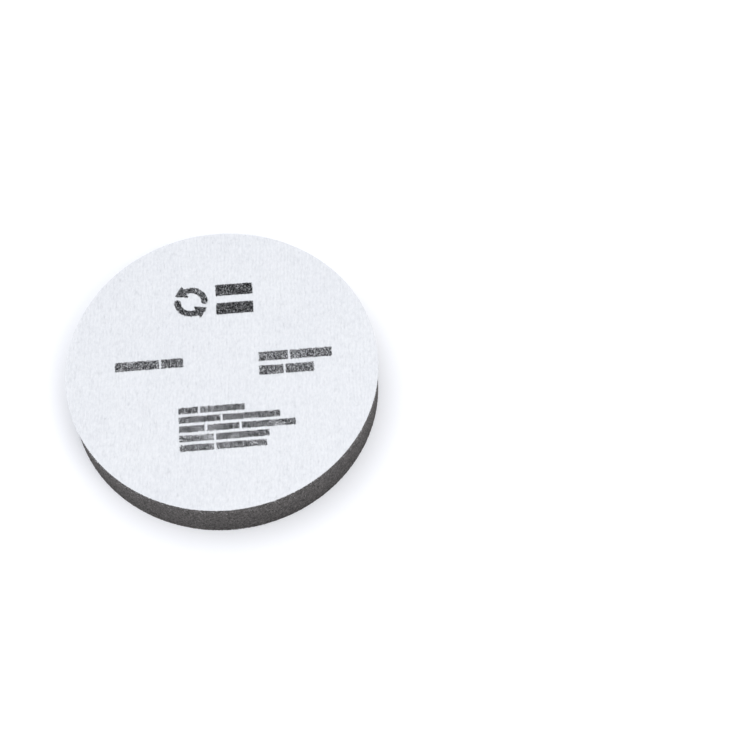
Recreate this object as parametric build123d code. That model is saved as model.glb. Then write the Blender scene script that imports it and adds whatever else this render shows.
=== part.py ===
from build123d import *
import os
from math import degrees

# Flat foam polishing pad with a hook-and-loop back, for a 150 mm (6 inch) backing plate.
# A slab of open-cell foam is bonded to a brushed loop fabric, the fabric is printed, and one
# stroke of a round die cuts the laminate, so that every layer ends at the same straight rim.
# Millimetres. +Z is the pad's axis. The origin is the centre of the foam's working face, which
# lies on Z = 0 with the loop face looking up, as the pad sits on the panel that it polishes.

# Laminate, from the working face upwards
PAD_DIAMETER = 150.0
FOAM_THICKNESS = 24.0
BOND_THICKNESS = 0.2
GROUND_THICKNESS = 0.5
PILE_HEIGHT = 0.9

# Edges
WORKING_RIM_RADIUS = 0.8  # the die drags the soft foam's lower rim slightly round
BOND_SETBACK = 0.4  # the bond line is pinched in from the cut edge

# Ink, which soaks into the tips of the pile
INK_DEPTH = 0.15

# Print, laid out in its own frame and then turned about the pad's centre
PRINT_TURN = 5.0  # degrees
WORD_GAP = 1.2

# Turning mark: two curved arrows that chase each other round a circle
RING_CENTRE = (-13.9, 36.3)
RING_RADIUS = 6.6  # to the middle of the stroke
RING_STROKE = 3.0
ARROW_COUNT = 2
HEAD_WIDTH = 7.4
HEAD_LENGTH = 5.4
TIP_GAP = 0.6  # from each tip to the round tail of the next arrow

# Two plain blocks beside the turning mark, and the rows of word bars below it.
# Each entry: left end, base of the first row, bar height, row pitch, word widths row by row.
PRINT_BLOCKS = (
    (-1.6, 38.7, 6.2, 10.4, ((18.0,), (18.0,))),
    (-51.3, 0.6, 4.8, 7.5, ((21.0, 10.5),)),
    (17.7, 0.7, 4.8, 7.5, ((14.0, 20.0), (11.5, 13.5))),
    (-21.5, -24.6, 3.2, 4.87,
     ((9.0, 21.0), (19.5, 27.0), (12.0, 15.0, 25.5), (16.0, 25.0), (16.0, 23.5))),
)

# Degrees left to each stroke once its head, the gap and half the next tail have their room
ARROW_SWEEP = 360 / ARROW_COUNT - degrees(
    (HEAD_LENGTH + TIP_GAP + RING_STROKE / 2) / RING_RADIUS
)

# Heights of the layers' faces
BOND_BASE = FOAM_THICKNESS
GROUND_BASE = BOND_BASE + BOND_THICKNESS
PILE_BASE = GROUND_BASE + GROUND_THICKNESS
PAD_TOP = PILE_BASE + PILE_HEIGHT


def layer(diameter, base, thickness):
    """One round layer of the laminate, standing on the height given as its base."""
    upwards = (Align.CENTER, Align.CENTER, Align.MIN)
    return Pos(0, 0, base) * Cylinder(diameter / 2, thickness, align=upwards)


def foam_disc():
    """The foam slab, with its working rim slightly rounded."""
    slab = layer(PAD_DIAMETER, 0, FOAM_THICKNESS)
    working_rim = slab.edges().group_by(Axis.Z)[0]
    return fillet(working_rim, WORKING_RIM_RADIUS)


def bond_film():
    """The melted bond between foam and fabric, which stops just short of the rim."""
    return layer(PAD_DIAMETER - 2 * BOND_SETBACK, BOND_BASE, BOND_THICKNESS)


def loop_ground_fabric():
    """The knitted ground that holds the loops."""
    return layer(PAD_DIAMETER, GROUND_BASE, GROUND_THICKNESS)


def word_rows(left, base, height, pitch, rows):
    """Plain bars in rows, one bar for each word."""
    bars = []
    for row, widths in enumerate(rows):
        x = left
        for width in widths:
            corner = Pos(x, base - row * pitch)
            bars.append(corner * Rectangle(width, height, align=(Align.MIN, Align.MIN)))
            x += width + WORD_GAP
    return bars


def curved_arrow():
    """One arrow that turns anticlockwise, about the centre of its circle."""
    stroke = SlotArc(CenterArc((0, 0), RING_RADIUS, 0, ARROW_SWEEP), RING_STROKE)
    head = make_face(
        Polyline(
            (RING_RADIUS - HEAD_WIDTH / 2, 0),
            (RING_RADIUS + HEAD_WIDTH / 2, 0),
            (RING_RADIUS, HEAD_LENGTH),
            close=True,
        )
    )
    return stroke + Rot(0, 0, ARROW_SWEEP) * head


def turning_mark():
    """The arrows, spaced evenly round their circle."""
    turn = 360 / ARROW_COUNT
    return [Pos(*RING_CENTRE) * Rot(0, 0, i * turn) * curved_arrow() for i in range(ARROW_COUNT)]


def print_outlines():
    """Every printed shape, flat, in the pad's frame."""
    shapes = turning_mark()
    for block in PRINT_BLOCKS:
        shapes += word_rows(*block)
    return [Rot(0, 0, PRINT_TURN) * shape for shape in shapes]


def printed_marks():
    """The inked tips of the pile, one solid for each printed shape."""
    sunk = Pos(0, 0, PAD_TOP - INK_DEPTH)
    return [extrude(sunk * shape, INK_DEPTH) for shape in print_outlines()]


def loop_pile(marks):
    """The brushed loops, with a pocket for each inked mark."""
    return layer(PAD_DIAMETER, PILE_BASE, PILE_HEIGHT) - marks


marks = printed_marks()
nodes = {
    "foam_disc": foam_disc(),
    "bond_film": bond_film(),
    "loop_ground_fabric": loop_ground_fabric(),
    "loop_pile": loop_pile(marks),
    "printed_marks": Compound(children=marks),
}

os.makedirs("parts", exist_ok=True)
for name, shape in nodes.items():
    export_step(shape, f"parts/{name}.step")
    print(name, len(shape.solids()), "solids", round(shape.volume, 1), "mm3")
print("pad", PAD_DIAMETER, "x", round(PAD_TOP, 3), "mm")
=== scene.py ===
# %% [markdown]
# # A foam polishing pad with a hook-and-loop back
#
# The pad is a laminate: a slab of charcoal open-cell foam, a melted bond, a knitted ground and a
# brushed loop pile with ink on its tips. One stroke of a round die cuts the whole stack. The CAD
# frame already holds every layer at its size, so each piece here is modelled into the place that
# its node has, and takes over from that plain solid.

# %% Load the frame
import math

import bpy
import numpy as np
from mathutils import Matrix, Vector, noise
from mathutils.bvhtree import BVHTree


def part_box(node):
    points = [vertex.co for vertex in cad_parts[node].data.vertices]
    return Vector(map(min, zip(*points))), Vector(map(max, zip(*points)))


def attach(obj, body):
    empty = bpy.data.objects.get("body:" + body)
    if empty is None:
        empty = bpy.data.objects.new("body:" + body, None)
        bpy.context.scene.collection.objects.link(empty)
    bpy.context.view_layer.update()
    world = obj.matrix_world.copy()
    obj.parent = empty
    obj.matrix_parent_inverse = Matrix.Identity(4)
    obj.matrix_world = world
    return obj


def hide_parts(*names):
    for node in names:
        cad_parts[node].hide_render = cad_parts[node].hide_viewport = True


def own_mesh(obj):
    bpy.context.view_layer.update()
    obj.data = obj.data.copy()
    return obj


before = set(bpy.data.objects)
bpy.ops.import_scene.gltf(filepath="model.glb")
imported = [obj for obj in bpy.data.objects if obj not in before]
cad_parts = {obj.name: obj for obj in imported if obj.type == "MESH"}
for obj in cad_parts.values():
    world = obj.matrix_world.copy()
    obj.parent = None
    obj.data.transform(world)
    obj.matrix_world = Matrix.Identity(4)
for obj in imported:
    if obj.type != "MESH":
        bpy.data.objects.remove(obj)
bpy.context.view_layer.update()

# %% [markdown]
# ## Sizes that come from the frame
#
# A node's box gives its two corners, so the radius of the die and the height of every layer are
# read and never typed. Lengths are in metres, and MM keeps the small ones readable.

# %% Read the layers
MM = 0.001
PAD_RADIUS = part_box("foam_disc")[1].x
FOAM_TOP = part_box("foam_disc")[1].z
BOND_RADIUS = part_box("bond_film")[1].x
GROUND_LOW, GROUND_TOP = (corner.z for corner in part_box("loop_ground_fabric"))
PILE_LOW, PILE_TOP = (corner.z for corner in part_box("loop_pile"))
print(f"pad {2 * PAD_RADIUS / MM:.1f} mm across and {PILE_TOP / MM:.1f} mm thick")


# %% [markdown]
# ## Small helpers
#
# Operators act on whatever is selected, and the frame's nodes arrive selected, so everything is
# deselected before a new piece begins. In edit mode, vertices are picked by a test on their place.

# %% Helpers for modelling with operators
def begin_piece():
    """Leave nothing selected, so that the next operator acts on the new piece alone."""
    bpy.ops.object.select_all(action="DESELECT")


def name_piece(name):
    """Name the piece that was just added, and its mesh."""
    piece = bpy.context.active_object
    piece.name = piece.data.name = name
    return piece


def points_of(piece):
    """The piece's vertices as an array of rows x, y, z."""
    points = np.empty(len(piece.data.vertices) * 3)
    piece.data.vertices.foreach_get("co", points)
    return points.reshape(-1, 3)


def move_points(piece, points):
    """Give the piece's vertices new places."""
    piece.data.vertices.foreach_set("co", points.ravel())
    piece.data.update()


def select_edges(piece, chosen):
    """Select exactly the edges that the array of truths names, ready for edit mode."""
    ends = np.empty(len(piece.data.edges) * 2, int)
    piece.data.edges.foreach_get("vertices", ends)
    picked = np.zeros(len(piece.data.vertices), bool)
    picked[ends.reshape(-1, 2)[chosen].ravel()] = True
    piece.data.vertices.foreach_set("select", picked)
    piece.data.edges.foreach_set("select", chosen)
    piece.data.polygons.foreach_set("select", np.zeros(len(piece.data.polygons), bool))


def edge_ends(piece):
    """The places of both ends of every edge, as two arrays."""
    ends = np.empty(len(piece.data.edges) * 2, int)
    piece.data.edges.foreach_get("vertices", ends)
    ends = ends.reshape(-1, 2)
    points = points_of(piece)
    return points[ends[:, 0]], points[ends[:, 1]]


def edit_edges():
    """Enter edit mode with edges as the thing that is picked."""
    bpy.ops.object.mode_set(mode="EDIT")
    bpy.ops.mesh.select_mode(type="EDGE")


def select_open_rim():
    """In edit mode, pick the open edge of the surface and nothing else."""
    bpy.ops.mesh.select_all(action="DESELECT")
    bpy.ops.mesh.select_non_manifold(
        extend=False, use_wire=False, use_boundary=True,
        use_multi_face=False, use_non_contiguous=False, use_verts=False,
    )


def leave_edit():
    """Back to object mode, with every face turned outwards."""
    bpy.ops.mesh.select_all(action="SELECT")
    bpy.ops.mesh.normals_make_consistent(inside=False)
    bpy.ops.object.mode_set(mode="OBJECT")


def apply_modifiers(piece):
    """Turn every modifier on the piece into mesh."""
    bpy.context.view_layer.objects.active = piece
    for modifier in list(piece.modifiers):
        bpy.ops.object.modifier_apply(modifier=modifier.name)


def report(piece):
    """Print a piece's name, faces and size in millimetres."""
    points = points_of(piece)
    size = (points.max(0) - points.min(0)) / MM
    print(f"{piece.name}: {len(piece.data.polygons)} faces, {size.round(2)} mm")


# %% [markdown]
# ## Helpers for materials
#
# Every finish is built from nodes on Object coordinates, in metres, so a pattern keeps its real
# size and stays on the piece when the pad is squeezed.

# %% Helpers for node trees
def new_finish(name, **sockets):
    """A material with one Principled shader, whose plain values are set on its own sockets."""
    finish = bpy.data.materials.new(name)
    finish.use_nodes = True
    shader = finish.node_tree.nodes["Principled BSDF"]
    for socket, value in sockets.items():
        shader.inputs[socket.replace("_", " ")].default_value = value
    return finish, finish.node_tree, shader


def add_node(tree, kind, **values):
    """A node, with attributes by lower-case name and input sockets by capitalised name."""
    node = tree.nodes.new(kind)
    for key, value in values.items():
        if key[0].isupper():
            node.inputs[key.replace("_", " ")].default_value = value
        else:
            setattr(node, key, value)
    return node


def stretched_coordinates(tree, x=1.0, y=1.0, z=1.0):
    """Object coordinates, scaled along each axis."""
    place = add_node(tree, "ShaderNodeTexCoord")
    scale = add_node(tree, "ShaderNodeMapping", Scale=(x, y, z))
    tree.links.new(place.outputs["Object"], scale.inputs["Vector"])
    return scale.outputs["Vector"]


def ramp(tree, source, low, high, low_at=0.0, high_at=1.0):
    """A two-colour ramp fed by a value."""
    node = add_node(tree, "ShaderNodeValToRGB")
    for stop, colour, place in zip(node.color_ramp.elements, (low, high), (low_at, high_at)):
        stop.color = (*colour, 1.0)
        stop.position = place
    tree.links.new(source, node.inputs["Fac"])
    return node.outputs["Color"]


def multiply(tree, first, second):
    """One colour times another."""
    node = add_node(tree, "ShaderNodeMix", data_type="RGBA", blend_type="MULTIPLY")
    node.inputs["Factor"].default_value = 1.0
    tree.links.new(first, node.inputs[6])
    tree.links.new(second, node.inputs[7])
    return node.outputs[2]


def bump(tree, height, strength, depth):
    """A bump of a given depth in metres."""
    node = add_node(tree, "ShaderNodeBump", Strength=strength, Distance=depth)
    tree.links.new(height, node.inputs["Height"])
    return node.outputs["Normal"]


# %% [markdown]
# ## The camera
#
# The pad is looked at from in front and above, about 62 degrees down, through a fairly long lens.
# The camera comes first, because every later choice of detail depends on how large things look.

# %% Place the camera
CAMERA_PLACE = (0.0734, -0.3314, 0.6523)
LOOKING_DOWN = 62.52
LENS = 70.85

begin_piece()
bpy.ops.object.camera_add(
    location=CAMERA_PLACE, rotation=(math.radians(90 - LOOKING_DOWN), 0, 0)
)
camera = bpy.context.active_object
camera.name = "camera"
camera.data.lens = LENS
camera.data.clip_start = 0.01
bpy.context.scene.camera = camera

# %% [markdown]
# ## A pale floor and soft studio light
#
# A white sweep under a bright sky gives the thin, soft shadow of a light tent, with a trace of
# blue in it. The tent is brighter behind the pad and on its left, so the shadow gathers in front.
# It is nowhere dimmer than white, or the floor's far edge would show against it. A weak, slightly
# warm softbox stands in front on the right, and gives the ribs of the loop pile a lit and a shaded
# side.

# %% Floor, sky and softbox
FLOOR_SIZE = 8.0
SKY_STRENGTH = 1.1
LEAST_SKY_STRENGTH = 1.08
SKY_LEAN = 0.65
BRIGHTER_TOWARDS = Vector((-0.75, 0.66, 0.0))
SKY_TINT = (0.93, 0.95, 1.0, 1)
SOFTBOX_PLACE = (0.45, -0.6, 0.8)
SOFTBOX_SIZE = 0.5
SOFTBOX_POWER = 2.6

begin_piece()
bpy.ops.mesh.primitive_plane_add(size=FLOOR_SIZE)
floor = name_piece("floor")
floor_finish, _, _ = new_finish(
    "white_sweep", Base_Color=(0.97, 0.97, 0.975, 1), Roughness=0.9, Specular_IOR_Level=0.0
)
floor.data.materials.append(floor_finish)

sky = bpy.data.worlds.new("light_tent")
sky.use_nodes = True
background = sky.node_tree.nodes["Background"]
background.inputs["Color"].default_value = SKY_TINT
direction = add_node(sky.node_tree, "ShaderNodeTexCoord")
side = add_node(sky.node_tree, "ShaderNodeVectorMath", operation="DOT_PRODUCT")
side.inputs[1].default_value = BRIGHTER_TOWARDS * SKY_LEAN * SKY_STRENGTH
leaning = add_node(sky.node_tree, "ShaderNodeMath", operation="ADD")
leaning.inputs[1].default_value = SKY_STRENGTH
strength = add_node(sky.node_tree, "ShaderNodeMath", operation="MAXIMUM")
strength.inputs[1].default_value = LEAST_SKY_STRENGTH
sky.node_tree.links.new(direction.outputs["Generated"], side.inputs[0])
sky.node_tree.links.new(side.outputs["Value"], leaning.inputs[0])
sky.node_tree.links.new(leaning.outputs["Value"], strength.inputs[0])
sky.node_tree.links.new(strength.outputs["Value"], background.inputs["Strength"])
bpy.context.scene.world = sky
bpy.context.scene.view_settings.view_transform = "Standard"

begin_piece()
bpy.ops.object.light_add(type="AREA", location=SOFTBOX_PLACE)
softbox = bpy.context.active_object
softbox.name = "softbox"
softbox.data.shape = "SQUARE"
softbox.data.size = SOFTBOX_SIZE
softbox.data.color = (1.0, 0.98, 0.95)
softbox.data.energy = SOFTBOX_POWER
softbox.rotation_euler = (-softbox.location).to_track_quat("-Z", "Y").to_euler()


# %% [markdown]
# ## The foam disc
#
# Open-cell foam could be a cylinder with a bumpy material, but then its rim would be a perfect
# circle from every side. Here the surface is really uneven. A fine square grid is bent into a
# round one, which keeps its cells nearly equal and needs no pole in the middle. Its outer ring is
# rolled up into the soft lower rim, the wall is drawn up from it, and Displace modifiers sink
# the pores. A die cuts foam while it is squeezed, so the wall springs back with a faint waist, and
# the melted bond draws the top of the wall in under the fabric.

# %% Bend a grid into the working face
FACE_CELLS = 400
WALL_RINGS = 62
RIM_ROLL = 0.5 * MM
WAIST = 0.15 * MM
PINCH_HEIGHT = 1.1 * MM
GLUED_MARGIN = 0.1 * MM


def round_from_square(points, radius):
    """Map a square of half-size 1 on to a disc, cell by cell."""
    x, y = points[:, 0].copy(), points[:, 1].copy()
    points[:, 0] = radius * x * np.sqrt(1 - y * y / 2)
    points[:, 1] = radius * y * np.sqrt(1 - x * x / 2)
    return points


def roll_rim(points, radius, roll):
    """Lift the outermost ring along a quarter circle."""
    distance = np.hypot(points[:, 0], points[:, 1])
    past = np.clip((distance - (radius - roll)) / roll, 0, 1)
    points[:, 2] = roll * (1 - np.sqrt(1 - past**2))
    return points


begin_piece()
bpy.ops.mesh.primitive_grid_add(x_subdivisions=FACE_CELLS, y_subdivisions=FACE_CELLS, size=2)
foam = name_piece("foam_pad")
move_points(foam, roll_rim(round_from_square(points_of(foam), PAD_RADIUS), PAD_RADIUS, RIM_ROLL))

# %% Draw up the wall and close the top
edit_edges()
select_open_rim()
bpy.ops.mesh.extrude_edges_move(
    TRANSFORM_OT_translate={"value": (0, 0, FOAM_TOP - RIM_ROLL)}
)
bpy.ops.object.mode_set(mode="OBJECT")

low_end, high_end = edge_ends(foam)
upright = np.abs(low_end[:, 2] - high_end[:, 2]) > FOAM_TOP / 2
select_edges(foam, upright)
edit_edges()
bpy.ops.mesh.subdivide_edgering(number_cuts=WALL_RINGS, interpolation="LINEAR")
select_open_rim()
bpy.ops.mesh.edge_face_add()
leave_edit()

wall = points_of(foam)
height_share = wall[:, 2] / FOAM_TOP
waist = WAIST * 4 * height_share * (1 - height_share)
near_bond = np.clip((wall[:, 2] - (FOAM_TOP - PINCH_HEIGHT)) / PINCH_HEIGHT, 0, 1)
pinch = (PAD_RADIUS - BOND_RADIUS) * (1 - np.sqrt(1 - near_bond**2))
wall[:, :2] *= (1 - (waist + pinch) / PAD_RADIUS)[:, None]
move_points(foam, wall)
report(foam)


# %% Sink the pores
PORE_SIZE, PORE_DEPTH = 1.0 * MM, 0.38 * MM
CRUMB_SIZE, CRUMB_DEPTH = 0.45 * MM, 0.10 * MM
SWELL_SIZE, SWELL_DEPTH = 4.0 * MM, 0.08 * MM
RIDGE = 0.16 * MM
SHORN_PAST_DIE = 0.03 * MM
FACE_WEIGHT = 0.5
CALM_HEIGHT = 3.0 * MM
WEIGHT_STEPS = 10


def sink_pores(piece, name, kind, cell, depth):
    """A Displace modifier that pushes the cut surface inwards by up to the depth."""
    texture = bpy.data.textures.new(name, type=kind)
    texture.noise_scale = cell
    modifier = piece.modifiers.new(name, "DISPLACE")
    modifier.texture = texture
    modifier.texture_coords = "LOCAL"
    modifier.vertex_group = "cut_surface"
    modifier.strength = depth
    modifier.mid_level = 1.0


def weigh_cut_surface(piece):
    """Full depth on the wall, less on the face and the rim, none on the glued top."""
    heights = points_of(piece)[:, 2]
    calm = FACE_WEIGHT + (1 - FACE_WEIGHT) * np.clip(heights / CALM_HEIGHT, 0, 1)
    steps = np.round(WEIGHT_STEPS * np.where(heights < FOAM_TOP - GLUED_MARGIN, calm, 0))
    group = piece.vertex_groups.new(name="cut_surface")
    for step in range(1, WEIGHT_STEPS + 1):
        group.add(np.flatnonzero(steps == step).tolist(), step / WEIGHT_STEPS, "REPLACE")


# The ridges between pores stand where the die cut, so the wall first grows by their height. What
# still stands proud after the pores are sunk is shorn off, as the die and the slicing blade do.
wall = points_of(foam)
on_wall = (wall[:, 2] > RIM_ROLL) & (wall[:, 2] < FOAM_TOP - GLUED_MARGIN)
wall[on_wall, :2] *= 1 + RIDGE / PAD_RADIUS
move_points(foam, wall)

weigh_cut_surface(foam)
sink_pores(foam, "foam_pores", "VORONOI", PORE_SIZE, PORE_DEPTH)
sink_pores(foam, "foam_crumb", "CLOUDS", CRUMB_SIZE, CRUMB_DEPTH)
sink_pores(foam, "foam_unevenness", "CLOUDS", SWELL_SIZE, SWELL_DEPTH)
begin_piece()
apply_modifiers(foam)
foam.vertex_groups.clear()

shorn = points_of(foam)
from_axis = np.hypot(shorn[:, 0], shorn[:, 1])
shearing = np.minimum(1, (PAD_RADIUS + SHORN_PAST_DIE) / np.maximum(from_axis, MM))
shorn[:, :2] *= shearing[:, None]
shorn[:, 2] = np.clip(shorn[:, 2], 0, FOAM_TOP)
move_points(foam, shorn)
report(foam)

# %% [markdown]
# ### The foam's finish
#
# Charcoal foam is a web of thin struts round dark holes. A Voronoi pattern gives the distance to
# the nearest strut, which colours the struts grey and the holes nearly black, as painted shade
# inside the pores, and bumps the surface. A finer web shows inside the holes. Struts seen from
# the side catch light, which is a soft sheen. The colour is also painted lighter towards the top
# of the wall and darker towards the working face, as painted light and shade.

# %% Make the foam's finish
FOAM_CELL, INNER_CELL = 0.8 * MM, 0.42 * MM
STRUT_GREY = (0.160, 0.147, 0.142)
# Painted shade: the holes between the struts are coloured nearly black for the shade inside the
# pores.
HOLE_SHADE_BLACK = (0.007, 0.0065, 0.0062)
INNER_WEB_SHARE = 0.6
FOAM_GRAIN, FOAM_PATCH = 1.1 * MM, 9 * MM


def web_of_struts(tree, place, cell, thin, thick):
    """Grey struts between cells painted nearly black as the shade inside them, and the distance
    that drew them.
    """
    cells = add_node(tree, "ShaderNodeTexVoronoi", feature="DISTANCE_TO_EDGE", Scale=1 / cell)
    tree.links.new(place, cells.inputs["Vector"])
    distance = cells.outputs["Distance"]
    return ramp(tree, distance, STRUT_GREY, HOLE_SHADE_BLACK, thin, thick), distance


def painted_height_shade(tree):
    """Painted light and shade: lightest at the top of the wall and darkest at the working face."""
    height = add_node(tree, "ShaderNodeSeparateXYZ")
    tree.links.new(stretched_coordinates(tree, z=1 / FOAM_TOP), height.inputs["Vector"])
    return ramp(tree, height.outputs["Z"], (0.6,) * 3, (1.0,) * 3, 0.0, 0.97)


def foam_finish():
    """Charcoal foam: two webs of struts, one inside the other, under grain, patches and painted
    shade by height.
    """
    finish, tree, shader = new_finish(
        "charcoal_foam", Roughness=0.95, Specular_IOR_Level=0.1,
        Sheen_Weight=0.12, Sheen_Roughness=0.5, Sheen_Tint=(0.95, 0.92, 0.9, 1),
    )
    place = stretched_coordinates(tree)
    struts, distance = web_of_struts(tree, place, FOAM_CELL, 0.02, 0.2)
    inner, _ = web_of_struts(tree, place, INNER_CELL, 0.0, 0.22)
    web = add_node(tree, "ShaderNodeMix", data_type="RGBA", blend_type="LIGHTEN")
    web.inputs["Factor"].default_value = INNER_WEB_SHARE
    tree.links.new(struts, web.inputs[6])
    tree.links.new(inner, web.inputs[7])
    grain = add_node(tree, "ShaderNodeTexNoise", Scale=1 / FOAM_GRAIN, Detail=2.0)
    tree.links.new(stretched_coordinates(tree, z=0.6), grain.inputs["Vector"])
    grainy = ramp(tree, grain.outputs["Fac"], (0.38,) * 3, (1.0,) * 3, 0.35, 0.65)
    clouds = add_node(tree, "ShaderNodeTexNoise", Scale=1 / FOAM_PATCH, Detail=3.0)
    tree.links.new(place, clouds.inputs["Vector"])
    patches = ramp(tree, clouds.outputs["Fac"], (0.85,) * 3, (1.0,) * 3, 0.3, 0.7)
    colour = multiply(tree, multiply(tree, web.outputs[2], grainy), patches)
    # Painted light and shade: the colour is lighter towards the top of the wall and darker towards
    # the working face.
    colour = multiply(tree, colour, painted_height_shade(tree))
    tree.links.new(colour, shader.inputs["Base Color"])
    tree.links.new(bump(tree, distance, 0.8, 0.22 * MM), shader.inputs["Normal"])
    return finish


foam.data.materials.append(foam_finish())
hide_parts("foam_disc")

# %% [markdown]
# ## The bond line
#
# Foam and fabric are melted together. All that shows is a thin dark line, a little inside the cut
# edge, so it is a low ring with a slightly uneven outline that shadows the joint.

# %% Model the bond line
RIM_STEPS = 720
BOND_UNEVEN, BOND_GRAIN = 0.12 * MM, 2 * MM
RIM_SHARE = 0.98


def uneven_rim(points, radius, amount, grain, seed):
    """Move points near a rim in and out by smooth noise."""
    for point in points:
        distance = math.hypot(point[0], point[1])
        if distance > radius * RIM_SHARE:
            drift = noise.noise(Vector((point[0] / grain, point[1] / grain, seed)))
            point[:2] *= 1 + amount * drift / distance
    return points


def round_layer(name, radius, low, high):
    """A flat round layer of the laminate between two heights, its place in its mesh."""
    begin_piece()
    bpy.ops.mesh.primitive_cylinder_add(
        vertices=RIM_STEPS, radius=radius, depth=high - low, end_fill_type="NGON",
    )
    piece = name_piece(name)
    points = points_of(piece)
    points[:, 2] += (low + high) / 2
    move_points(piece, points)
    return piece


bond = round_layer("bond_line", BOND_RADIUS, FOAM_TOP, GROUND_LOW)
move_points(bond, uneven_rim(points_of(bond), BOND_RADIUS, BOND_UNEVEN, BOND_GRAIN, 3.0))
report(bond)


# %% Make the bond's finish
def bond_finish():
    """Melted foam and glue, nearly black and a little glossier than the foam."""
    finish, tree, shader = new_finish("melted_bond", Roughness=0.6, Specular_IOR_Level=0.4)
    grain = add_node(tree, "ShaderNodeTexNoise", Scale=1 / (0.8 * MM), Detail=2.0)
    tree.links.new(stretched_coordinates(tree), grain.inputs["Vector"])
    colour = ramp(tree, grain.outputs["Fac"], (0.03, 0.03, 0.031), (0.08, 0.08, 0.082), 0.35, 0.65)
    tree.links.new(colour, shader.inputs["Base Color"])
    return finish


bond.data.materials.append(bond_finish())
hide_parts("bond_film")

# %% [markdown]
# ## The knitted ground
#
# The ground shows only as the bright cut edge between foam and pile. Its rim has cut yarn ends, so
# the ring is broken up into small teeth, one for each end.

# %% Model the ground
YARN_END = 0.42 * MM
TOOTH_DEPTH = 0.10 * MM
NICK_DEPTH = 0.12 * MM
TUCKED_UNDER = 0.14 * MM
GROUND_STEPS = round(2 * math.pi * PAD_RADIUS / (YARN_END / 3))


def knit_ground():
    """The ground as a disc whose rim is a row of cut yarn ends."""
    begin_piece()
    bpy.ops.mesh.primitive_cylinder_add(
        vertices=GROUND_STEPS, radius=PAD_RADIUS, depth=GROUND_TOP - GROUND_LOW,
        end_fill_type="NGON",
    )
    piece = name_piece("knitted_ground")
    points = points_of(piece)
    turn = np.arctan2(points[:, 1], points[:, 0])
    teeth = 0.5 + 0.5 * np.cos(turn * PAD_RADIUS / YARN_END * 2 * math.pi)
    randomly = np.random.default_rng(11)
    nicks = randomly.uniform(0, NICK_DEPTH, len(points))
    tucked = np.where(points[:, 2] < 0, TUCKED_UNDER, 0)
    inwards = 1 - (TOOTH_DEPTH * (1 - teeth) + nicks + tucked) / PAD_RADIUS
    points[:, :2] *= inwards[:, None]
    points[:, 2] += (GROUND_LOW + GROUND_TOP) / 2
    move_points(piece, points)
    return piece


ground = knit_ground()
report(ground)


# %% Make the ground's finish
def knit_finish():
    """White polyester knit, shaded from yarn to yarn."""
    finish, tree, shader = new_finish(
        "white_knit", Roughness=0.9, Specular_IOR_Level=0.2, Sheen_Weight=0.2, Sheen_Roughness=0.5,
    )
    grain = add_node(tree, "ShaderNodeTexNoise", Scale=1 / (0.25 * MM), Detail=2.0)
    tree.links.new(stretched_coordinates(tree), grain.inputs["Vector"])
    colour = ramp(tree, grain.outputs["Fac"], (0.66, 0.67, 0.69), (0.92, 0.925, 0.935), 0.35, 0.6)
    tree.links.new(colour, shader.inputs["Base Color"])
    tree.links.new(bump(tree, grain.outputs["Fac"], 0.5, 0.06 * MM), shader.inputs["Normal"])
    return finish


white_knit = knit_finish()
ground.data.materials.append(white_knit)
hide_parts("loop_ground_fabric")

# %% [markdown]
# ## The loop pile
#
# The back is a warp knit: loops stand in straight ribs, called wales, and brushing teases them
# into a soft, streaky nap. A flat disc would lose that relief. So a grid is laid with six columns
# to each wale, its height follows the ribs and the tufts along them, and the slab is then cut by a
# round die, as the real laminate is: a Boolean keeps what lies inside a cylinder. The wales lean
# a degree or two, because the die doesn't care how the fabric was fed.

# %% Lay the ribbed slab
WALE_PITCH = 1.75 * MM
WALE_LEAN = math.radians(1.5)
COLUMNS_PER_WALE = 6
WALES = 88
TUFT_ROWS = 236
RIB_HEIGHT = 0.17 * MM
TUFT_HEIGHT, TUFT_LENGTH = 0.09 * MM, 0.9 * MM
NAP_HEIGHT, NAP_WIDTH, NAP_LENGTH = 0.07 * MM, 0.9 * MM, 1.7 * MM
WANDER, WANDER_WIDTH, WANDER_LENGTH = 0.3, 9 * MM, 22 * MM


def nap(points):
    """How far each point of the pile lies below the tallest tips."""
    below = np.empty(len(points))
    for i, (x, y, _) in enumerate(points):
        wander = WANDER * noise.noise(Vector((x / WANDER_WIDTH, y / WANDER_LENGTH, 1.7)))
        across = x * math.cos(WALE_LEAN) + y * math.sin(WALE_LEAN)
        wale = across / WALE_PITCH + wander
        rib = abs(math.sin(math.pi * wale))
        tuft = noise.noise(Vector((math.floor(wale) * 7.31, y / TUFT_LENGTH, 0.5)))
        brushed = noise.noise(Vector((x / NAP_WIDTH, y / NAP_LENGTH, 4.1)))
        below[i] = RIB_HEIGHT * (1 - rib)
        below[i] += TUFT_HEIGHT * (0.5 - tuft) + NAP_HEIGHT * (0.5 - brushed)
    return below


begin_piece()
bpy.ops.mesh.primitive_grid_add(
    x_subdivisions=WALES * COLUMNS_PER_WALE, y_subdivisions=TUFT_ROWS, size=WALES * WALE_PITCH
)
pile = name_piece("loop_pile_nap")
slab = points_of(pile)
slab[:, 2] = PILE_TOP - np.clip(nap(slab), 0, None)
move_points(pile, slab)

edit_edges()
select_open_rim()
bpy.ops.mesh.extrude_edges_move(TRANSFORM_OT_translate={"value": (0, 0, PILE_LOW - PILE_TOP)})
bpy.ops.mesh.edge_face_add()
leave_edit()
slab = points_of(pile)
slab[slab[:, 2] < (PILE_LOW + PILE_TOP) / 2, 2] = PILE_LOW
move_points(pile, slab)
report(pile)

# %% Cut it with the die
DIE_DEPTH = 20 * MM
RIM_FALL, RIM_FALL_WIDTH = 0.15 * MM, 0.5 * MM
BASE_MARGIN = 0.1 * MM

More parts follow.
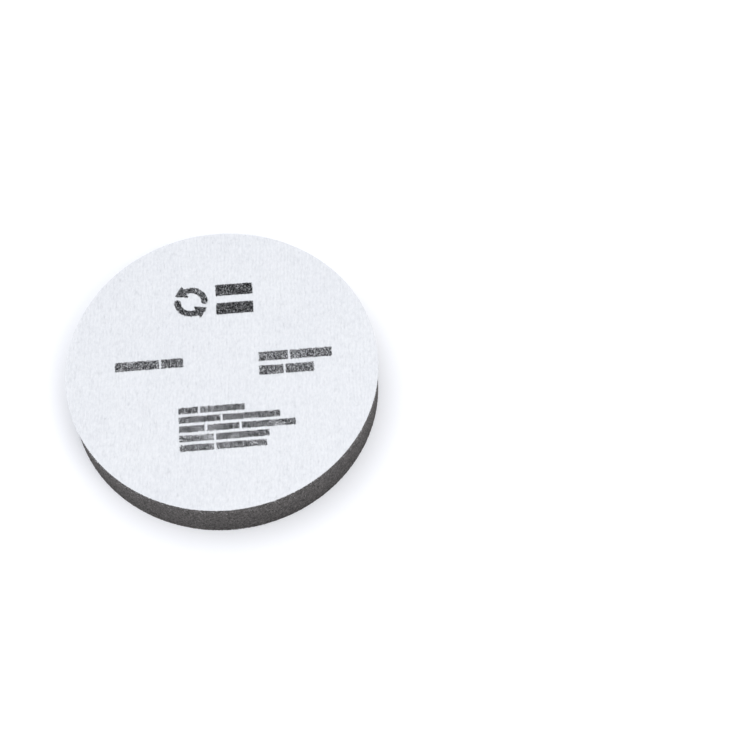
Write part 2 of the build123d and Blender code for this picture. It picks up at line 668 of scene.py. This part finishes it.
begin_piece()
bpy.ops.mesh.primitive_cylinder_add(
    vertices=RIM_STEPS * 2, radius=PAD_RADIUS, depth=DIE_DEPTH, location=(0, 0, PILE_TOP)
)
die = name_piece("round_die")
cut = pile.modifiers.new("die_cut", "BOOLEAN")
cut.operation = "INTERSECT"
cut.solver = "MANIFOLD"
cut.object = die
apply_modifiers(pile)
bpy.data.objects.remove(die)

cut_pile = points_of(pile)
from_axis = np.hypot(cut_pile[:, 0], cut_pile[:, 1])
near_rim = np.clip((from_axis - (PAD_RADIUS - RIM_FALL_WIDTH)) / RIM_FALL_WIDTH, 0, 1)
standing = cut_pile[:, 2] > PILE_LOW + BASE_MARGIN
cut_pile[:, 2] -= np.where(standing, RIM_FALL * near_rim**2, 0)
move_points(pile, cut_pile)
report(pile)


# %% Make the pile's finish
STREAK, PILE_PATCH, FINE_FIBRE = 0.9 * MM, 30 * MM, 0.16 * MM


def pile_finish():
    """Brushed white loops: streaks along the wales, faint patches and a fibrous bump."""
    finish, tree, shader = new_finish(
        "brushed_white_loops", Roughness=0.95, Specular_IOR_Level=0.15,
        Sheen_Weight=0.15, Sheen_Roughness=0.5,
    )
    along = stretched_coordinates(tree, 1.0, 0.5, 1.0)
    streaks = add_node(tree, "ShaderNodeTexNoise", Scale=1 / STREAK, Detail=3.0, Roughness=0.6)
    tree.links.new(along, streaks.inputs["Vector"])
    low, high = (0.618, 0.627, 0.638), (0.700, 0.704, 0.710)
    streaky = ramp(tree, streaks.outputs["Fac"], low, high, 0.3, 0.7)
    patches = add_node(tree, "ShaderNodeTexNoise", Scale=1 / PILE_PATCH, Detail=2.0)
    tree.links.new(stretched_coordinates(tree), patches.inputs["Vector"])
    patchy = ramp(tree, patches.outputs["Fac"], (0.98, 0.98, 0.985), (1.0, 1.0, 1.0), 0.3, 0.7)
    tree.links.new(multiply(tree, streaky, patchy), shader.inputs["Base Color"])
    fibres = add_node(tree, "ShaderNodeTexNoise", Scale=1 / FINE_FIBRE, Detail=2.0)
    tree.links.new(along, fibres.inputs["Vector"])
    tree.links.new(bump(tree, fibres.outputs["Fac"], 0.5, 0.05 * MM), shader.inputs["Normal"])
    return finish


brushed_loops = pile_finish()
pile.data.materials.clear()
pile.data.materials.append(brushed_loops)
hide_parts("loop_pile")

# %% [markdown]
# ## Loose fibres
#
# Brushing leaves fine loops lying over the nap, and the die leaves cut ends round the rim. One
# small fibre is modelled from a three-sided cylinder and arched; its copies are then
# strewn over the pile, mostly along the wales, and round the rim.

# %% Model one fibre and strew its copies
def one_fibre(name, length, radius, arch, bow=0.0, cuts=2):
    """A three-sided fibre that lies along Y, arches upwards and bows sideways."""
    begin_piece()
    bpy.ops.mesh.primitive_cylinder_add(
        vertices=3, radius=radius, depth=length, rotation=(math.pi / 2, 0, 0)
    )
    piece = name_piece(name)
    bpy.ops.object.transform_apply(location=False, rotation=True, scale=False)
    first, second = edge_ends(piece)
    select_edges(piece, np.abs(first[:, 1] - second[:, 1]) > length / 2)
    edit_edges()
    bpy.ops.mesh.subdivide_edgering(number_cuts=cuts, interpolation="LINEAR")
    leave_edit()
    points = points_of(piece)
    bend = 1 - (2 * points[:, 1] / length) ** 2
    points[:, 2] += arch * bend
    points[:, 0] += bow * bend
    move_points(piece, points)
    return piece


def strew(pattern, name, places, turns, tilts, scales):
    """One mesh with a copy of the pattern at each place: turned about Z, tilted, scaled."""
    start = points_of(pattern)
    faces = [list(face.vertices) for face in pattern.data.polygons]
    count, size = len(places), len(start)
    scaled = start[None] * scales[:, None, :]
    c, s = np.cos(tilts)[:, None], np.sin(tilts)[:, None]
    y, z = scaled[..., 1] * c - scaled[..., 2] * s, scaled[..., 1] * s + scaled[..., 2] * c
    c, s = np.cos(turns)[:, None], np.sin(turns)[:, None]
    x, y = scaled[..., 0] * c - y * s, scaled[..., 0] * s + y * c
    points = np.stack([x, y, z], -1) + places[:, None, :]
    mesh = bpy.data.meshes.new(name)
    mesh.from_pydata(
        points.reshape(-1, 3).tolist(), [],
        [[v + copy * size for v in face] for copy in range(count) for face in faces],
    )
    piece = bpy.data.objects.new(name, mesh)
    bpy.context.scene.collection.objects.link(piece)
    bpy.data.objects.remove(pattern)
    return piece


def heights_on(tree, across, along):
    """The height of a surface above each point, looked up by a ray from above."""
    found = []
    for x, y in zip(across, along):
        hit = tree.ray_cast(Vector((x, y, PILE_TOP + MM)), Vector((0, 0, -1)))[0]
        found.append(hit.z if hit is not None else PILE_TOP)
    return np.array(found)


pile_surface = BVHTree.FromObject(pile, bpy.context.evaluated_depsgraph_get())

# %% Strew the nap's fibres
NAP_FIBRES = 8000
FIBRE_RADIUS = 0.028 * MM


def nap_fibres():
    """Fine loops that lie over the pile, mostly along its wales."""
    randomly = np.random.default_rng(21)
    distance = (PAD_RADIUS - 0.4 * MM) * np.sqrt(randomly.random(NAP_FIBRES))
    turn = randomly.uniform(0, 2 * math.pi, NAP_FIBRES)
    across, along = distance * np.cos(turn), distance * np.sin(turn)
    places = np.stack([across, along, heights_on(pile_surface, across, along) - 0.02 * MM], 1)
    lengths = randomly.uniform(0.6, 1.5, NAP_FIBRES)
    arches = randomly.uniform(0.4, 1.6, NAP_FIBRES)
    scales = np.stack([np.ones(NAP_FIBRES), lengths, arches], 1)
    turns = randomly.normal(0, 0.55, NAP_FIBRES)
    tilts = randomly.normal(0, 0.06, NAP_FIBRES)
    fibre = one_fibre("nap_fibre", 1.3 * MM, FIBRE_RADIUS, 0.14 * MM)
    return strew(fibre, "nap_fibres", places, turns, tilts, scales)


fibres = nap_fibres()
fibres.data.materials.append(brushed_loops)
report(fibres)

# %% Strew the cut ends round the rim
CUT_ENDS = 5200


def cut_ends():
    """Cut yarn ends that stand out from the fabric's rim, the lowest of them over the foam."""
    randomly = np.random.default_rng(34)
    turn = randomly.uniform(0, 2 * math.pi, CUT_ENDS)
    distance = PAD_RADIUS - randomly.uniform(0.02, 0.4, CUT_ENDS) * MM
    height = randomly.uniform(GROUND_LOW, PILE_TOP - 0.25 * MM, CUT_ENDS)
    places = np.stack([distance * np.cos(turn), distance * np.sin(turn), height], 1)
    scales = randomly.uniform((0.8, 0.3, 0.8), (1.0, 1.15, 1.0), (CUT_ENDS, 3))
    turns = turn - math.pi / 2 + randomly.normal(0, 0.6, CUT_ENDS)
    tilts = randomly.normal(-0.35, 0.5, CUT_ENDS)
    fibre = one_fibre("cut_end", 0.75 * MM, 0.05 * MM, 0.05 * MM, cuts=1)
    return strew(fibre, "cut_yarn_ends", places, turns, tilts, scales)


ends = cut_ends()
ends.data.materials.append(white_knit)
report(ends)

# %% Leave tufts of fluff at the rim
# Here and there the die pulls a yarn, which leaves a tuft: the degrees are counted from the front.
TUFTS_AT = (21, -48, 63, 112, 158, -96, -139)
FIBRES_PER_TUFT = 9


def pulled_tufts():
    """Small tufts of pulled fibres that hang from the cut edge."""
    randomly = np.random.default_rng(13)
    count = len(TUFTS_AT) * FIBRES_PER_TUFT
    turn = np.radians(np.repeat(TUFTS_AT, FIBRES_PER_TUFT)) - math.pi / 2
    turn += randomly.normal(0, 0.4 * MM / PAD_RADIUS, count)
    distance = PAD_RADIUS + randomly.uniform(0, 0.12, count) * MM
    height = GROUND_LOW - randomly.uniform(-0.1, 0.5, count) * MM
    places = np.stack([distance * np.cos(turn), distance * np.sin(turn), height], 1)
    turns = turn - math.pi / 2 + randomly.normal(0, 0.9, count)
    tilts = randomly.normal(-0.9, 0.5, count)
    scales = randomly.uniform((0.8, 0.5, -1.5), (1.2, 1.5, 1.5), (count, 3))
    fibre = one_fibre("tuft_fibre", 1.0 * MM, 0.03 * MM, 0.12 * MM, bow=0.15 * MM, cuts=3)
    return strew(fibre, "pulled_tufts", places, turns, tilts, scales)


tufts = pulled_tufts()
tufts.data.materials.append(white_knit)
report(tufts)

# %% [markdown]
# ### Lint on the foam
#
# The die leaves white fluff on the foam, thickest just under the cut edge, and the working face
# picks up a few hairs. They belong to the foam's surface, so this piece rides and flattens with
# the foam and not with the backing.

# %% Dust the foam with lint
WALL_LINT = 700
FACE_LINT = 220
LINT_FALL = 1.8 * MM


def foam_lint():
    """Short white fibres on the wall and a few curled hairs on the working face."""
    randomly = np.random.default_rng(89)
    count = WALL_LINT + FACE_LINT
    on_face = np.arange(count) >= WALL_LINT
    turn = randomly.uniform(0, 2 * math.pi, count)
    fall = np.minimum(randomly.exponential(LINT_FALL, count), FOAM_TOP - 1.5 * MM)
    spread = (PAD_RADIUS - 1.5 * MM) * np.sqrt(randomly.random(count))
    distance = np.where(on_face, spread, PAD_RADIUS + 0.02 * MM)
    height = np.where(on_face, 0.03 * MM, FOAM_TOP - 0.9 * MM - fall)
    places = np.stack([distance * np.cos(turn), distance * np.sin(turn), height], 1)
    tilts = np.where(on_face, 0.0, randomly.uniform(-math.pi / 2, math.pi / 2, count))
    turns = np.where(on_face, randomly.uniform(0, 2 * math.pi, count), turn)
    lengths = randomly.uniform(0.3, 1.1, count) * np.where(on_face, 2.2, 1.0)
    scales = np.stack([np.ones(count), lengths, np.ones(count)], 1)
    fibre = one_fibre("lint_fibre", 0.5 * MM, 0.02 * MM, 0.0, bow=0.12 * MM)
    return strew(fibre, "foam_lint", places, turns, tilts, scales)


lint = foam_lint()
lint.data.materials.append(white_knit)
report(lint)

# %% [markdown]
# ## The print
#
# Ink only reaches the tips of the loops, so printed shapes have broken, streaky edges. A smooth
# black decal would look pasted on. Instead each inked tip is a small sliver, and thousands of
# them are strewn over the shapes that the frame's print node gives. They lie thickest on the crest
# of a wale and thinnest in the valley between two, the heading is printed heaviest, and here and
# there the print is worn.

# %% Pick places inside the printed shapes
SLIVERS = 46000
HEADING_FROM = 20 * MM
HEADING_INK = 1.5


def places_on_print(count, randomly):
    """Random places over the upper faces of the print's solids, more of them in the heading."""
    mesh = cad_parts["printed_marks"].data
    mesh.calc_loop_triangles()
    corners = np.array([[mesh.vertices[v].co for v in t.vertices] for t in mesh.loop_triangles])
    normals = np.cross(corners[:, 1] - corners[:, 0], corners[:, 2] - corners[:, 0])
    doubled_areas = np.linalg.norm(normals, axis=1)
    upper = (normals[:, 2] > 0.9 * doubled_areas) & (corners[:, :, 2].min(1) > PILE_TOP - 0.01 * MM)
    corners, areas = corners[upper], doubled_areas[upper] / 2
    print(f"the print covers {areas.sum() / MM**2:.0f} square millimetres")
    ink = areas * np.where(corners[:, :, 1].mean(1) > HEADING_FROM, HEADING_INK, 1)
    chosen = corners[randomly.choice(len(corners), count, p=ink / ink.sum())]
    u, v = randomly.random((2, count, 1))
    outside = u + v > 1
    u, v = np.where(outside, 1 - u, u), np.where(outside, 1 - v, v)
    return chosen[:, 0] + u * (chosen[:, 1] - chosen[:, 0]) + v * (chosen[:, 2] - chosen[:, 0])


# %% Model one inked tip and strew its copies
SLIVER_WIDTH = 0.25 * MM
SLIVER_LENGTH = 0.62 * MM
WEAR_GRAIN = 8.0 * MM
WORN_LOSS = 0.55
VALLEY_LOSS = 0.35
EDGE_BLEED = 0.14 * MM


def one_sliver():
    """A thin sliver, whose lower edge lies across the wale and whose upper edge lies along it."""
    begin_piece()
    bpy.ops.mesh.primitive_cone_add(vertices=3, radius1=SLIVER_WIDTH / 2, depth=SLIVER_LENGTH)
    piece = name_piece("ink_sliver")
    across, along, high, low = SLIVER_WIDTH / 2, SLIVER_LENGTH / 2, 0.06 * MM, -0.02 * MM
    corners = [(-across, 0, low), (across, 0, low), (0, -along, high), (0, along, high)]
    move_points(piece, np.array(corners))
    bpy.ops.object.mode_set(mode="EDIT")
    leave_edit()
    return piece


def inked_tips():
    """Slivers over the printed shapes, fewer in the valleys and where the print is worn."""
    randomly = np.random.default_rng(55)
    places = places_on_print(SLIVERS, randomly)
    heights = heights_on(pile_surface, places[:, 0], places[:, 1])
    valley = np.clip((PILE_TOP - heights) / (RIB_HEIGHT + TUFT_HEIGHT + NAP_HEIGHT), 0, 1)
    worn = np.array([noise.noise(Vector(place / WEAR_GRAIN)) for place in places])
    lost = VALLEY_LOSS * valley + WORN_LOSS * np.clip(worn, 0, 1)
    kept = randomly.random(SLIVERS) > lost
    places, count = places[kept], int(kept.sum())
    places[:, :2] += randomly.normal(0, EDGE_BLEED, (count, 2))
    places[:, 2] = heights[kept] + 0.01 * MM
    turns = randomly.normal(0, 0.5, count)
    tilts = randomly.normal(0, 0.04, count)
    scales = randomly.uniform((0.7, 0.5, 0.8), (1.2, 1.2, 1.2), (count, 3))
    return strew(one_sliver(), "inked_tips", places, turns, tilts, scales)


ink = inked_tips()
report(ink)


# %% Make the ink's finish
def ink_finish():
    """Flat black ink with a little grey where it is thin."""
    finish, tree, shader = new_finish("black_ink", Roughness=0.9, Specular_IOR_Level=0.08)
    wear = add_node(tree, "ShaderNodeTexNoise", Scale=1 / (0.5 * MM), Detail=2.0)
    tree.links.new(stretched_coordinates(tree, 1.0, 0.4, 1.0), wear.inputs["Vector"])
    colour = ramp(tree, wear.outputs["Fac"], (0.004, 0.004, 0.0045), (0.04, 0.04, 0.043), 0.45, 0.8)
    tree.links.new(colour, shader.inputs["Base Color"])
    return finish


ink.data.materials.append(ink_finish())
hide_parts("printed_marks")

# %% [markdown]
# ## Join the pieces to the bodies
#
# The foam stands still and flattens as the backing sinks, so it rides on its own body and
# squashes towards the working face. Everything above it rides on the backing.

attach(foam, "foam")
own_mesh(foam)
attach(lint, "foam")
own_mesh(lint)
for piece in (bond, ground, pile, fibres, ends, tufts, ink):
    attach(piece, "backing")
